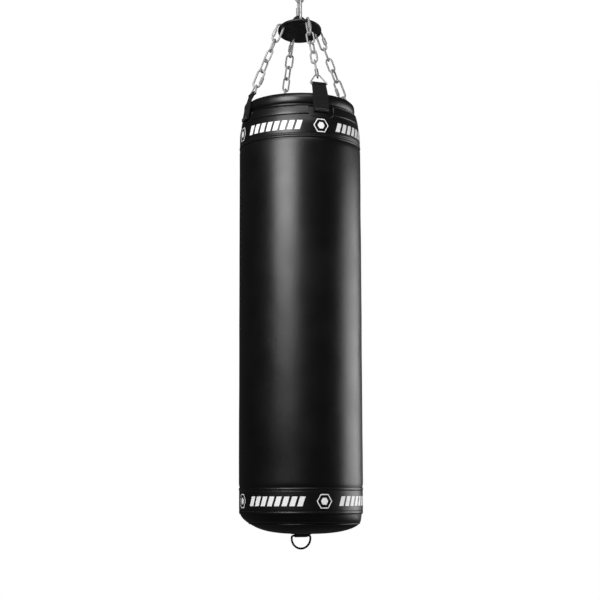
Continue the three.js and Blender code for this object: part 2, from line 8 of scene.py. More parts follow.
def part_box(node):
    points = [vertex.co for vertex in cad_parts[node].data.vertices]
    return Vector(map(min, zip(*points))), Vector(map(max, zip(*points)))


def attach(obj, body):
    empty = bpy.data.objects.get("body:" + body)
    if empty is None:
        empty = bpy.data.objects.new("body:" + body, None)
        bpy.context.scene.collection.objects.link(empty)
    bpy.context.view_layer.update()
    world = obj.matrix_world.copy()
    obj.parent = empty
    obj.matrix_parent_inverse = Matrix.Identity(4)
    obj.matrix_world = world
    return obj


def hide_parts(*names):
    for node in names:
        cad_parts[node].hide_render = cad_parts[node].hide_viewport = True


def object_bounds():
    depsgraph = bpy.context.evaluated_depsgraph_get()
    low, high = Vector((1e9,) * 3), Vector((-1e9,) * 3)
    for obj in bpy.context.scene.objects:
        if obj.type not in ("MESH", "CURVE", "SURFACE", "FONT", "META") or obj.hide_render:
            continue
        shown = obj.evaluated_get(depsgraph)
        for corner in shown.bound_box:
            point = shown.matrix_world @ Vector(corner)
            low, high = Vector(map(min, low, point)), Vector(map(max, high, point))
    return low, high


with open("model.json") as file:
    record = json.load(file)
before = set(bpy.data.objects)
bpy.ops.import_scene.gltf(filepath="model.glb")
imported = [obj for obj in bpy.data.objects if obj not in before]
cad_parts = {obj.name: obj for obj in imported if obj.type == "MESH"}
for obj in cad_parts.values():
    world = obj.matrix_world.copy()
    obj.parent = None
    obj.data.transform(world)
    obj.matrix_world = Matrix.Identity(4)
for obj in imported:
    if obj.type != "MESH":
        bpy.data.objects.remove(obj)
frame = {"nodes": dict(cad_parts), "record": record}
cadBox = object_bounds()
bpy.context.scene.view_settings.view_transform = "Standard"

mm = 0.001
legNames = ("right", "back", "left", "front")
legAngle = {"right": 0, "back": 90, "left": 180, "front": 270}
jointOf = {joint["name"]: joint for joint in frame["record"]["behaviour"]["joints"]}


# small helpers for working on one object at a time

def alone(obj):
    bpy.ops.object.select_all(action="DESELECT")
    obj.select_set(True)
    bpy.context.view_layer.objects.active = obj


def enter(obj):
    alone(obj)
    bpy.ops.object.mode_set(mode="EDIT")
    bpy.ops.mesh.select_mode(type="VERT")


def leave():
    bpy.ops.object.mode_set(mode="OBJECT")


def choose(obj, test):
    # selects the vertices that pass the test, and what lies wholly between them
    bpy.ops.mesh.select_all(action="DESELECT")
    shape = bmesh.from_edit_mesh(obj.data)
    for vert in shape.verts:
        vert.select = bool(test(vert.co))
    shape.select_flush(True)
    bmesh.update_edit_mesh(obj.data)


def chooseEdges(obj, test):
    bpy.ops.mesh.select_mode(type="EDGE")
    bpy.ops.mesh.select_all(action="DESELECT")
    shape = bmesh.from_edit_mesh(obj.data)
    for edge in shape.edges:
        edge.select = bool(test(edge.verts[0].co, edge.verts[1].co))
    bmesh.update_edit_mesh(obj.data)


def tidyShell(obj):
    # doubles out, normals outwards
    enter(obj)
    bpy.ops.mesh.select_all(action="SELECT")
    bpy.ops.mesh.remove_doubles(threshold=0.00001)
    bpy.ops.mesh.normals_make_consistent(inside=False)
    leave()


def modify(obj, kind, **settings):
    alone(obj)
    modifier = obj.modifiers.new(kind.title(), kind)
    for name, value in settings.items():
        setattr(modifier, name, value)
    bpy.ops.object.modifier_apply(modifier=modifier.name)


def cutBy(obj, cutter, operation="DIFFERENCE"):
    modify(obj, "BOOLEAN", operation=operation, object=cutter, solver="EXACT")
    bpy.data.objects.remove(cutter)


def row(obj, length, pitch, axis):
    # repeats the piece along an axis
    away = [pitch if name == axis else 0 for name in "xyz"]
    modify(obj, "ARRAY", count=int(length / pitch), use_relative_offset=False, use_constant_offset=True,
           constant_offset_displace=away)


def smooth(obj, angle=40):
    alone(obj)
    bpy.ops.object.shade_smooth_by_angle(angle=math.radians(angle))


def settle(obj, matrix):
    # moves the shape to its place and leaves the object at the origin
    alone(obj)
    obj.matrix_world = matrix
    bpy.ops.object.transform_apply(location=True, rotation=True, scale=True)


def copyOf(obj, name):
    alone(obj)
    bpy.ops.object.duplicate(linked=False)
    made = bpy.context.object
    made.name = name
    return made


def joined(name, pieces):
    alone(pieces[0])
    for piece in pieces:
        piece.select_set(True)
    bpy.ops.object.join()
    made = bpy.context.object
    made.name = name
    return made


def finishPiece(obj, body, material, nodes=()):
    obj.data.materials.clear()
    obj.data.materials.append(material)
    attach(obj, body)
    if nodes:
        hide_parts(*nodes)
    return obj


def turned(name, rings, vertices=128, closed=None):
    # a circle extruded ring by ring; closed says whether the "first" or the "last" ring is filled,
    # and without it the last ring joins the first, as in a wall
    radius, height = rings[0]
    bpy.ops.object.select_all(action="DESELECT")
    bpy.ops.mesh.primitive_circle_add(vertices=vertices, radius=radius, location=(0, 0, height))
    bpy.ops.object.transform_apply(location=True, rotation=False, scale=False)
    obj = bpy.context.object
    obj.name = name
    bpy.ops.object.mode_set(mode="EDIT")
    bpy.ops.mesh.select_mode(type="VERT")
    bpy.ops.mesh.select_all(action="SELECT")
    if closed == "first":
        bpy.ops.mesh.edge_face_add()
    for nextRadius, nextHeight in rings[1:] + ([] if closed else rings[:1]):
        bpy.ops.mesh.extrude_region_move(TRANSFORM_OT_translate={"value": (0, 0, nextHeight - height)})
        grow = nextRadius / radius
        bpy.ops.transform.resize(value=(grow, grow, 1), center_override=(0, 0, nextHeight))
        radius, height = nextRadius, nextHeight
    if closed == "last":
        bpy.ops.mesh.edge_face_add()
    leave()
    tidyShell(obj)
    return obj


def block(name, size, bevel=0.0, segments=1):
    # a cuboid about the origin
    bpy.ops.object.select_all(action="DESELECT")
    bpy.ops.mesh.primitive_cube_add(size=1, location=(0, 0, 0))
    obj = bpy.context.object
    obj.name = name
    enter(obj)
    bpy.ops.mesh.select_all(action="SELECT")
    bpy.ops.transform.resize(value=size, center_override=(0, 0, 0))
    if bevel:
        bpy.ops.mesh.bevel(offset=bevel, segments=segments, affect="EDGES")
    leave()
    return obj


def wire(name, points, thickness, closed=True, sides=4):
    # a round wire along a list of points
    bpy.ops.object.select_all(action="DESELECT")
    bpy.ops.curve.primitive_bezier_curve_add()
    obj = bpy.context.object
    obj.name = name
    curve = obj.data
    curve.splines.clear()
    spline = curve.splines.new("POLY")
    spline.points.add(len(points) - 1)
    for point, place in zip(spline.points, points):
        point.co = (*place, 1)
    spline.use_cyclic_u = closed
    curve.dimensions = "3D"
    curve.bevel_depth = thickness / 2
    curve.bevel_resolution = sides
    curve.use_fill_caps = not closed
    bpy.ops.object.convert(target="MESH")
    obj = bpy.context.object
    tidyShell(obj)
    return obj


def arc(centre, radius, start, end, steps):
    # points on a circle in the XY plane, angles in degrees
    points = []
    for i in range(steps + 1):
        angle = math.radians(start + (end - start) * i / steps)
        points.append((centre[0] + radius * math.cos(angle), centre[1] + radius * math.sin(angle)))
    return points


# materials

class Value:
    # a node socket that can be written in sums
    def __init__(self, maker, socket):
        self.maker = maker
        self.socket = socket

    def __add__(self, other):
        return self.maker.maths("ADD", self, other)

    def __radd__(self, other):
        return self.maker.maths("ADD", other, self)

    def __sub__(self, other):
        return self.maker.maths("SUBTRACT", self, other)

    def __rsub__(self, other):
        return self.maker.maths("SUBTRACT", other, self)

    def __mul__(self, other):
        return self.maker.maths("MULTIPLY", self, other)

    def __rmul__(self, other):
        return self.maker.maths("MULTIPLY", other, self)

    def __truediv__(self, other):
        return self.maker.maths("DIVIDE", self, other)

    def __lt__(self, other):
        return self.maker.maths("LESS_THAN", self, other)

    def __gt__(self, other):
        return self.maker.maths("GREATER_THAN", self, other)


class Finish:
    # one material: its shader and the nodes that feed it
    def __init__(self, name, **constants):
        self.material = bpy.data.materials.new(name)
        self.material.use_nodes = True
        self.tree = self.material.node_tree
        self.shader = self.tree.nodes["Principled BSDF"]
        for socket, value in constants.items():
            self.shader.inputs[socket.replace("_", " ")].default_value = value
        self.place = self.node("ShaderNodeTexCoord", out="Object")

    def node(self, kind, settings=None, values=None, out=0):
        made = self.tree.nodes.new(kind)
        for name, value in (settings or {}).items():
            if name == "stops":
                self.setStops(made.color_ramp, value)
            else:
                setattr(made, name, value)
        for name, value in (values or {}).items():
            if isinstance(value, Value):
                self.tree.links.new(value.socket, made.inputs[name])
            else:
                made.inputs[name].default_value = value
        return Value(self, made.outputs[out])

    def setStops(self, ramp, stops):
        while len(ramp.elements) < len(stops):
            ramp.elements.new(0.5)
        for element, (position, shade) in zip(ramp.elements, stops):
            element.position = position
            element.color = (shade, shade, shade, 1)

    def maths(self, operation, *inputs):
        return self.node("ShaderNodeMath", {"operation": operation}, dict(enumerate(inputs)))

    def clamp(self, value, low=0.0, high=1.0):
        return self.maths("MINIMUM", self.maths("MAXIMUM", value, low), high)

    def axes(self):
        # x, y and z of the object's own coordinates
        made = self.tree.nodes.new("ShaderNodeSeparateXYZ")
        self.tree.links.new(self.place.socket, made.inputs[0])
        return [Value(self, made.outputs[i]) for i in range(3)]

    def noise(self, scale, detail=3.0, roughness=0.5, squeeze=None):
        vector = self.place
        if squeeze:
            vector = self.node("ShaderNodeMapping", values={"Vector": vector, "Scale": squeeze})
        return self.node("ShaderNodeTexNoise", values={
            "Vector": vector, "Scale": scale, "Detail": detail, "Roughness": roughness})

    def cells(self, scale, feature="F1"):
        return self.node("ShaderNodeTexVoronoi", {"feature": feature}, {"Vector": self.place, "Scale": scale})

    def ramp(self, value, stops):
        return self.node("ShaderNodeValToRGB", {"stops": stops}, {"Fac": value})

    def blendColor(self, amount, first, second):
        made = self.tree.nodes.new("ShaderNodeMix")
        made.data_type = "RGBA"
        for socket, value in ((made.inputs[0], amount), (made.inputs[6], first), (made.inputs[7], second)):
            if isinstance(value, Value):
                self.tree.links.new(value.socket, socket)
            else:
                socket.default_value = value
        return Value(self, made.outputs[2])

    def bump(self, height, strength, distance, under=None):
        values = {"Height": height, "Strength": strength, "Distance": distance}
        if under:
            values["Normal"] = under
        return self.node("ShaderNodeBump", values=values)

    def feed(self, socket, value):
        self.tree.links.new(value.socket, self.shader.inputs[socket])


def grey(shade):
    return (shade, shade, shade, 1)


leatherLook = {"shade": 0.0008, "highShade": 0.0019, "roughness": 0.31, "grain": 1150, "pores": 2600}


def leatherGrain(finish, wear=0.0):
    # fine pressed grain: small cells, finer pores and slow waves in the coating
    cell = finish.cells(leatherLook["grain"], "DISTANCE_TO_EDGE")
    pore = finish.noise(leatherLook["pores"], 2)
    waves = finish.noise(9, 2)
    creases = finish.noise(42, 4, 0.6, squeeze=(1, 1, 2.2))
    grain = finish.clamp(cell * 3.2) * 0.7 + pore * 0.3
    coarse = finish.bump(creases, 0.12 + wear, 1.2 * mm)
    fine = finish.bump(grain, 0.16, 0.22 * mm, coarse)
    finish.feed("Normal", fine)
    smudge = finish.ramp(waves, [(0.35, 0.0), (0.7, 1.0)])
    rough = leatherLook["roughness"] + smudge * 0.07 + pore * 0.05
    finish.feed("Roughness", finish.clamp(rough, 0.2, 0.7))
    return smudge, grain


def leatherTone(finish, smudge, grain):
    low, high = grey(leatherLook["shade"]), grey(leatherLook["highShade"])
    return finish.blendColor(smudge * 0.6 + grain * 0.4, low, high)


def leatherMaterial(name, wear=0.0):
    finish = Finish(name)
    smudge, grain = leatherGrain(finish, wear)
    finish.feed("Base Color", leatherTone(finish, smudge, grain))
    return finish.material


bandLook = {
    "print": 0.80, "barHeight": 27 * mm, "wordLength": 178 * mm, "barPitch": 22.25 * mm, "barShare": 0.68,
    "slant": 0.32, "markSize": 20 * mm, "markLine": 2.6 * mm, "markCore": 9.5 * mm,
}


def bandMaterial(name, middle, radius, turn):
    # black band with a white row of slanted bars between plain hexagon marks
    finish = Finish(name)
    smudge, grain = leatherGrain(finish)
    x, y, z = finish.axes()
    quarter = math.pi / 2
    angle = finish.maths("ARCTAN2", y, x) / quarter + (8 - math.radians(turn) / quarter)
    up = z - middle
    reach = quarter * radius
    fromMark = (finish.maths("FRACT", angle + 0.5) - 0.5) * reach
    fromWord = (finish.maths("FRACT", angle) - 0.5) * reach
    tall = finish.maths("ABSOLUTE", up)
    leaning = fromWord - up * bandLook["slant"]
    inWord = finish.maths("ABSOLUTE", leaning) < bandLook["wordLength"] / 2
    step = leaning / bandLook["barPitch"] + 20
    bar = finish.maths("FRACT", step) < bandLook["barShare"]
    word = inWord * bar * (tall < bandLook["barHeight"] / 2)
    wide = finish.maths("ABSOLUTE", fromMark)
    hexagon = finish.maths("MAXIMUM", tall, wide * 0.866 + tall * 0.5)
    ring = (hexagon < bandLook["markSize"]) * (hexagon > bandLook["markSize"] - bandLook["markLine"])
    core = hexagon < bandLook["markCore"]
    worn = finish.clamp(finish.noise(900, 3) * 3.0)
    printed = finish.clamp(word + ring + core) * worn
    tone = leatherTone(finish, smudge, grain)
    finish.feed("Base Color", finish.blendColor(printed, tone, grey(bandLook["print"])))
    return finish.material


zincLook = {"low": 0.29, "high": 0.42, "spot": 0.34, "roughness": 0.46, "metallic": 0.55}


def zincMaterial(name):
    # bright zinc plate: cloudy passivation, fine drawing lines and small dull spots
    finish = Finish(name, Metallic=zincLook["metallic"])
    cloud = finish.noise(160, 4, 0.6)
    spots = finish.ramp(finish.noise(700, 3), [(0.55, 0.0), (0.75, 1.0)])
    lines = finish.noise(420, 2, 0.5, squeeze=(1, 1, 6))
    low, high = zincLook["low"], zincLook["high"]
    tone = finish.blendColor(cloud, (low, low, low * 1.02, 1), (high, high * 0.995, high * 0.98, 1))
    finish.feed("Base Color", finish.blendColor(spots * 0.35, tone, grey(zincLook["spot"])))
    finish.feed("Roughness", finish.clamp(zincLook["roughness"] + cloud * 0.14 + spots * 0.2, 0.1, 0.8))
    finish.feed("Normal", finish.bump(lines * 0.6 + spots * 0.4, 0.12, 0.2 * mm))
    return finish.material


paintLook = {
    "hub": {"shade": 0.003, "roughness": 0.45, "texture": 900},
    "ring": {"shade": 0.008, "roughness": 0.32, "texture": 1400, "metallic": 0.4},
}


def paintedMaterial(name, shade, roughness, texture, metallic=0.0):
    # powder coat or black plating: fine orange peel, dust and scuffs
    finish = Finish(name, Metallic=metallic)
    peel = finish.noise(texture, 2)
    scuff = finish.ramp(finish.noise(75, 5, 0.7), [(0.5, 0.0), (0.72, 1.0)])
    tone = finish.blendColor(scuff * 0.5, grey(shade), grey(shade * 2.4))
    finish.feed("Base Color", tone)
    finish.feed("Roughness", finish.clamp(roughness + scuff * 0.18 + peel * 0.06, 0.1, 0.9))
    finish.feed("Normal", finish.bump(peel, 0.18, 0.25 * mm))
    return finish.material


webLook = {"shade": 0.0012, "high": 0.0065, "rib": 2.1 * mm, "yarn": 1.5 * mm}


def webbingMaterial(name):
    # woven nylon: ribs across the strap crossed by yarns along it, in a staggered weave
    finish = Finish(name, Specular_IOR_Level=0.22, Sheen_Weight=0.03)
    x, y, z = finish.axes()
    across = finish.maths("MINIMUM", finish.maths("ABSOLUTE", x), finish.maths("ABSOLUTE", y))
    circle = 2 * math.pi
    yarn = finish.maths("SINE", across * (circle / webLook["yarn"]))
    stagger = finish.maths("FLOOR", across / webLook["yarn"]) * 0.5
    rib = finish.maths("SINE", (z / webLook["rib"] + stagger) * circle)
    weave = finish.clamp(rib * 0.32 + yarn * 0.18 + 0.5)
    fuzz = finish.noise(1500, 3)
    tone = finish.blendColor(weave * 0.7 + fuzz * 0.3, grey(webLook["shade"]), grey(webLook["high"]))
    finish.feed("Base Color", tone)
    finish.feed("Roughness", finish.clamp(0.62 + fuzz * 0.25, 0.3, 0.95))
    finish.feed("Normal", finish.bump(weave + fuzz * 0.2, 0.55, 0.4 * mm))
    return finish.material


clothLook = {
    "thread": {"shade": 0.02, "pitch": 0.6 * mm}, "lightThread": {"shade": 0.12, "pitch": 0.6 * mm},
    "lid": {"shade": 0.016, "pitch": 1.2 * mm}, "fill": {"shade": 0.3, "pitch": 4 * mm},
}


def clothMaterial(name, shade, pitch):
    # plain woven cloth on flat pieces
    finish = Finish(name, Sheen_Weight=0.1)
    x, y, z = finish.axes()
    circle = 2 * math.pi
    weave = finish.maths("SINE", x * (circle / pitch)) * finish.maths("SINE", y * (circle / pitch))
    fuzz = finish.noise(1200, 3)
    finish.feed("Base Color", finish.blendColor(fuzz, grey(shade * 0.6), grey(shade * 1.5)))
    finish.feed("Roughness", finish.clamp(0.7 + fuzz * 0.2, 0.3, 0.95))
    finish.feed("Normal", finish.bump(weave * 0.5 + fuzz * 0.5, 0.4, 0.3 * mm))
    return finish.material


def foamMaterial(name, shade):
    finish = Finish(name, Specular_IOR_Level=0.2)
    holes = finish.cells(700)
    finish.feed("Base Color", finish.blendColor(holes, grey(shade * 0.5), grey(shade * 1.4)))
    finish.feed("Roughness", finish.clamp(0.8 + holes * 0.2, 0.5, 1.0))
    finish.feed("Normal", finish.bump(holes, 0.5, 0.6 * mm))
    return finish.material


zinc = zincMaterial("zincPlate")
hubPaint = paintedMaterial("hubPowderCoat", **paintLook["hub"])
ringBlack = paintedMaterial("ringBlackPlate", **paintLook["ring"])
leather = leatherMaterial("bagLeather")
foldedLeather = leatherMaterial("foldedLeather", 0.12)
webbing = webbingMaterial("strapWebbing")
threadCloth = clothMaterial("blackThread", **clothLook["thread"])
lightThread = clothMaterial("lightThread", **clothLook["lightThread"])
lidCloth = clothMaterial("lidCloth", **clothLook["lid"])
fillCloth = clothMaterial("packedCloth", **clothLook["fill"])
foam = foamMaterial("foamLiner", 0.07)
print("materials ready")

# the bag's outline

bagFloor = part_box("bottom_cap")[0].z
bagLook = {
    "radius": 178.4 * mm, "taper": 10 * mm, "taperStart": 1172 * mm, "taperLength": 64 * mm,
    "bottomDepth": 78 * mm, "bottomPower": 2.8,
}


def eased(share):
    share = min(max(share, 0), 1)
    return share * share * (3 - 2 * share)


def skinRadius(height):
    # radius of the skin at a height above the bag's lowest point
    if height < bagLook["bottomDepth"]:
        power = bagLook["bottomPower"]
        return bagLook["radius"] * (1 - (1 - height / bagLook["bottomDepth"]) ** power) ** (1 / power)
    return bagLook["radius"] - bagLook["taper"] * eased((height - bagLook["taperStart"]) / bagLook["taperLength"])


def over(points):
    # rings from (height in mm, distance outside the skin in mm)
    return [(skinRadius(height * mm) + out * mm, bagFloor + height * mm) for height, out in points]


def roundCord(name, height, out, halfWidth, halfHeight):
    # a sewn-in cord right round the bag
    radius, level = over([(height, out)])[0]
    turns = [2 * math.pi * i / 10 for i in range(10)]
    rings = [(radius + halfWidth * math.cos(turn), level + halfHeight * math.sin(turn)) for turn in turns]
    return turned(name, rings, 160)


def steps(low, high, pitch):
    count = max(1, round((high - low) / pitch))
    return [low + (high - low) * i / count for i in range(count + 1)]


def wavy(obj, low, high, fade, size, strength, seed):
    # slow waves between two heights, fading out towards both
    group = obj.vertex_groups.new(name="waves")
    for vert in obj.data.vertices:
        height = vert.co.z - bagFloor
        weight = min((height - low) / fade, (high - height) / fade, 1)
        if weight > 0:
            group.add([vert.index], weight, "REPLACE")
    texture = bpy.data.textures.new("waves" + str(seed), "CLOUDS")
    texture.noise_scale = size
    texture.noise_depth = 1
    texture.noise_basis = "ORIGINAL_PERLIN"
    modify(obj, "DISPLACE", texture=texture, strength=strength, mid_level=0.5, vertex_group="waves")


sagLook = {"from": 57 * mm, "to": 18 * mm, "X": 12 * mm, "Y": -4 * mm}


def sag(obj):
    # the packing has settled to one side, so all that is low on the bag leans out there
    group = obj.vertex_groups.new(name="sag")
    for vert in obj.data.vertices:
        share = (sagLook["from"] - (vert.co.z - bagFloor)) / (sagLook["from"] - sagLook["to"])
        group.add([vert.index], eased(share), "REPLACE")
    for axis in "XY":
        modify(obj, "DISPLACE", direction=axis, strength=sagLook[axis], mid_level=0, vertex_group="sag")


# leather tube

shellLook = {
    "low": 30, "high": 1228, "pitch": 13, "thickness": 2.4, "bulge": 2.6, "bulgeFrom": 131, "bulgeTo": 1139,
    "bulgeRise": 16, "wave": 1.5 * mm, "waveSize": 0.15, "waveFrom": 150 * mm, "waveTo": 1120 * mm,
    "waveFade": 50 * mm,
}


def stuffed(height):
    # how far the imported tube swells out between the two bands
    share = min((height - shellLook["bulgeFrom"]) / shellLook["bulgeRise"],
                (shellLook["bulgeTo"] - height) / shellLook["bulgeRise"], 1)
    return shellLook["bulge"] * math.sin(max(share, 0) * math.pi / 2)


low, high = shellLook["low"], shellLook["high"]
heights = [low, 36, 44, 52, 60, 68, 78, 104, 126, 131, 134, 138, 142, 147, 154]
heights += steps(166, 1106, shellLook["pitch"]) + [1116, 1123, 1128, 1132, 1136, 1139, 1160, 1195, high]
outside = [(height, stuffed(height)) for height in heights]
inside = [(height, -shellLook["thickness"] - 0.4) for height in (high, 1180, 1136, 90, 60, 44, low)]
shell = turned("leatherTube", over(outside + inside), 160)
wavy(shell, shellLook["waveFrom"], shellLook["waveTo"], shellLook["waveFade"], shellLook["waveSize"],
     shellLook["wave"], 1)
sag(shell)
smooth(shell, 50)
finishPiece(shell, "bag", leather, ("outer_shell",))
print("leather tube")

# back seam: a lapped strip with two rows of stitches

seamLook = {"angle": 71, "half": 4.6, "low": 137, "high": 1133, "raise": 0.9 * mm, "rows": 3.7,
            "rowLow": 146 * mm, "rowLength": 980 * mm}

enter(shell)
seamWay = Vector((math.cos(math.radians(seamLook["angle"])), math.sin(math.radians(seamLook["angle"])), 0))


def nearSeam(co):
    height = (co.z - bagFloor) / mm
    flat = Vector((co.x, co.y, 0))
    outer = flat.length > skinRadius(co.z - bagFloor) and seamLook["low"] < height < seamLook["high"]
    return outer and flat.angle(seamWay) < math.radians(seamLook["half"])


choose(shell, nearSeam)
bpy.ops.mesh.duplicate_move()
bpy.ops.mesh.separate(type="SELECTED")
leave()
seamStrip = [obj for obj in bpy.context.selected_objects if obj != shell][0]
seamStrip.name = "backSeam"
modify(seamStrip, "SOLIDIFY", thickness=seamLook["raise"] + 0.4 * mm, offset=0.4)
modify(seamStrip, "BEVEL", width=0.35 * mm, segments=2, limit_method="ANGLE")
smooth(seamStrip)
finishPiece(seamStrip, "bag", foldedLeather)

# lower and upper bands

lowerBandLook = {
    "hem": [(57, 0.3), (57, 1.2), (57.6, 2.0), (59, 2.5), (62, 2.6), (65, 2.3), (66.2, 1.5), (67.2, 1.9)],
    "flat": (70, 122), "topHem": [(123.2, 1.9), (124, 1.5), (125.2, 2.3), (128, 2.7), (131, 2.6), (132.5, 2.0),
                                  (133, 1.1), (133, 0.3)],
    "turn": 0, "middle": 95,
}
flat = [(height, 1.9) for height in steps(*lowerBandLook["flat"], 7)]
back = [(height, 0.3) for height in (120, 100, 84, 72, 64)]
lowerBand = turned("lowerBand", over(lowerBandLook["hem"] + flat + lowerBandLook["topHem"] + back), 160)
smooth(lowerBand, 50)
bandLow = bandMaterial("lowerBandLeather", bagFloor + lowerBandLook["middle"] * mm, 178.9 * mm,
                       lowerBandLook["turn"])
finishPiece(lowerBand, "bag", bandLow, ("lower_band",))

upperBandLook = {
    "hem": [(1136, 0.3), (1136, 1.4), (1136.6, 2.4), (1138, 3.0), (1140, 3.0), (1141.6, 2.5), (1142.6, 1.4),
            (1143.6, 2.1), (1145, 2.5), (1146.6, 2.2), (1147.4, 1.5), (1148.4, 1.9)],
    "flat": (1152, 1200), "topHem": [
        (1203, 2.1), (1204.3, 1.9), (1205, 0.9), (1205.7, 2.2), (1207, 2.9), (1211, 3.3), (1217, 3.4), (1223, 3.2),
        (1228, 2.8), (1231, 2.2), (1232, 1.2), (1232, 0.3)],
    "middle": 1172, "turn": -1.5,
    "notchWidth": 80 * mm, "notchLow": 1197 * mm, "notchHigh": 1250 * mm, "notchCorner": 22 * mm,
    "notchReach": 60 * mm,
}
flat = [(height, 1.9) for height in steps(*upperBandLook["flat"], 6)]
back = [(height, 0.3) for height in (1210, 1190, 1175, 1160, 1148)]
upperBand = turned("upperBand", over(upperBandLook["hem"] + flat + upperBandLook["topHem"] + back), 256)

# notches for the four straps
notchHigh = upperBandLook["notchHigh"]
notchLow = upperBandLook["notchLow"]
cutters = []
for leg in legNames:
    cutter = block("notch", (upperBandLook["notchReach"], upperBandLook["notchWidth"], notchHigh - notchLow))
    enter(cutter)
    chooseEdges(cutter, lambda a, b: a.z < 0 and b.z < 0 and abs(a.y - b.y) < 1e-6)
    bpy.ops.mesh.bevel(offset=upperBandLook["notchCorner"], segments=10, affect="EDGES")
    leave()
    middle = Matrix.Translation((170 * mm, 0, bagFloor + (notchHigh + notchLow) / 2))
    settle(cutter, Matrix.Rotation(math.radians(legAngle[leg]), 4, "Z") @ middle)
    cutters.append(cutter)
cutBy(upperBand, joined("notchCutter", cutters))
smooth(upperBand, 50)
bandHigh = bandMaterial("upperBandLeather", bagFloor + upperBandLook["middle"] * mm, 179 * mm,
                        upperBandLook["turn"])
finishPiece(upperBand, "bag", bandHigh, ("upper_band",))
print("bands")

# bound edge round each notch
bindingLook = {"thickness": 3.4 * mm, "out": 1.7 * mm, "high": 1230.6 * mm}


def onSkin(angle, sideways, height, out):
    # a point on the skin beside the ray at angle, at a height above the floor
    radius = skinRadius(height) + out
    turn = math.radians(angle) + sideways / radius
    return (radius * math.cos(turn), radius * math.sin(turn), bagFloor + height)


def notchOutline():
    # (sideways, height) down one side of the notch, round and up the other
    half = upperBandLook["notchWidth"] / 2
    corner = upperBandLook["notchCorner"]
    low = upperBandLook["notchLow"]
    straight = [bindingLook["high"] - i * 2.4 * mm for i in range(4)]
    points = [(-half, height) for height in straight]
    points += arc((-half + corner, low + corner), corner, 180, 270, 10)
    points += [(half * 0.2 * side, low) for side in (-1, 0, 1)]
    points += arc((half - corner, low + corner), corner, 270, 360, 10)
    points += [(half, height) for height in straight[::-1]]
    return points


bindings = []
for leg in legNames:
    points = [onSkin(legAngle[leg], sideways, height, bindingLook["out"]) for sideways, height in notchOutline()]
    bindings.append(wire("notchBinding" + leg.title(), points, bindingLook["thickness"], closed=False))
binding = joined("notchBinding", bindings)
smooth(binding, 60)
finishPiece(binding, "bag", foldedLeather)
print("notch bindings")

# padded rim on top

rollLook = {
    "middle": 150.5 * mm, "wide": 29 * mm, "high": 38 * mm, "low": 1236 * mm, "sides": 22, "power": 2.3,
    "wave": 1.3 * mm, "waveSize": 0.035,
}
rollMiddle = bagFloor + rollLook["low"] + rollLook["high"] / 2


def bulge(angle, reach):
    # a slightly squared circle
    value = math.cos(angle)
    return math.copysign(abs(value) ** (2 / rollLook["power"]), value) * reach


rings = []
for i in range(rollLook["sides"]):
    angle = 2 * math.pi * i / rollLook["sides"]
    rings.append((rollLook["middle"] + bulge(angle, rollLook["wide"] / 2),
                  rollMiddle + bulge(angle - math.pi / 2, rollLook["high"] / 2)))
roll = turned("paddedRim", rings, 224)
wavy(roll, rollLook["low"] - 30 * mm, rollLook["low"] + 70 * mm, 10 * mm, rollLook["waveSize"],
     rollLook["wave"], 2)
smooth(roll, 70)
finishPiece(roll, "bag", foldedLeather, ("top_roll",))

# seam cord just under the rim, and a flat flap that joins the rim to the tube
cordLook = {"height": 1234.4, "out": -0.2, "half": 1.8 * mm}
pipe = roundCord("rimCord", cordLook["height"], cordLook["out"], cordLook["half"], cordLook["half"])
smooth(pipe, 60)
finishPiece(pipe, "bag", foldedLeather)

flapLook = [(1227, -6.5), (1233, -6.2), (1239, -5.4), (1239, -6.6), (1233, -7.6), (1227, -8)]
flap = turned("rimFlap", over(flapLook), 160)
smooth(flap, 60)
finishPiece(flap, "bag", foldedLeather)
print("padded rim")

# lid under the rim

lidLook = {"top": 1231.6 * mm, "thick": 5.8 * mm, "radius": 162 * mm, "rings": (150, 130, 108, 84, 60, 36, 14)}
lidTop = bagFloor + lidLook["top"]
rings = [(lidLook["radius"], lidTop - lidLook["thick"]), (lidLook["radius"], lidTop)]
rings += [(radius * mm, lidTop) for radius in lidLook["rings"]]
lid = turned("clothLid", rings, 96, "first")
smooth(lid)
finishPiece(lid, "bag", lidCloth, ("top_lid",))

# lacing slit across the lid: a zip with its two tapes
zipLook = {"length": 250 * mm, "width": 26 * mm, "thick": 0.9 * mm, "pitch": 3.4 * mm, "turn": 45,
           "tooth": (1.7 * mm, 5 * mm, 1.6 * mm), "end": 6 * mm}
zipTurn = Matrix.Rotation(math.radians(zipLook["turn"]), 4, "Z")
tape = block("zipTape", (zipLook["length"], zipLook["width"], zipLook["thick"]), 0.3 * mm, 2)
settle(tape, zipTurn @ Matrix.Translation((0, 0, lidTop + 0.3 * mm)))
smooth(tape)
finishPiece(tape, "bag", threadCloth)

teeth = block("zipTeeth", zipLook["tooth"], 0.4 * mm)
settle(teeth, Matrix.Translation((zipLook["end"] - zipLook["length"] / 2, 0, 0)))
row(teeth, zipLook["length"] - 2 * zipLook["end"], zipLook["pitch"], "x")
settle(teeth, zipTurn @ Matrix.Translation((0, 0, lidTop + 1.2 * mm)))
smooth(teeth)
finishPiece(teeth, "bag", ringBlack)
print("lid")

# rounded bottom with gathers

capLook = {
    "heights": (29.7, 26, 22, 18, 14.5, 11.5, 8.8, 6.6, 4.8, 3.4, 2.3, 1.5, 0.9, 0.5, 0.25), "flat": (28, 16, 7),
    "gathers": 46, "drawnIn": 0.9915, "thickness": 2.1 * mm,
}
rings = over([(height, 0) for height in capLook["heights"]])
rings += [(radius * mm, bagFloor) for radius in capLook["flat"]]
bottom = turned("roundedBottom", rings, 184, "last")


def isGather(co):
    turn = math.atan2(co.y, co.x) / (2 * math.pi) * capLook["gathers"]
    return abs(turn - round(turn)) < 0.1 and 8 * mm < co.z - bagFloor < 28 * mm


